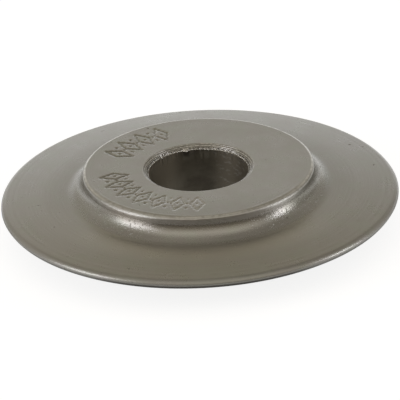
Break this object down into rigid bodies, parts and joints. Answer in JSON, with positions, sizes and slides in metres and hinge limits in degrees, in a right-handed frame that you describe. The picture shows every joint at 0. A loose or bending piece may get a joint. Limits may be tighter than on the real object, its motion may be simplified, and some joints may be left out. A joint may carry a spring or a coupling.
{
  "type": "pipe cutter wheel",
  "caption": "Round steel pipe cutter wheel: a thick hub with a plain chamfered bore, a hollow root fillet and a thin tapered disc with a bevelled cutting edge.",
  "frame": {"origin": "centre of the bore at the lower hub face, on which the wheel lies", "axes": "+Z along the bore axis, from the lower hub face to the upper one; X and Y are free, as the wheel is round"},
  "size_m": [0.0508, 0.0508, 0.0084],
  "materials": {
    "tool_steel": "satin, turned and hardened, brown-grey, with small nicks on its edges"
  },
  "bodies": {
    "root": {"cutter_wheel": "tool_steel"}
  },
  "joints": []
}
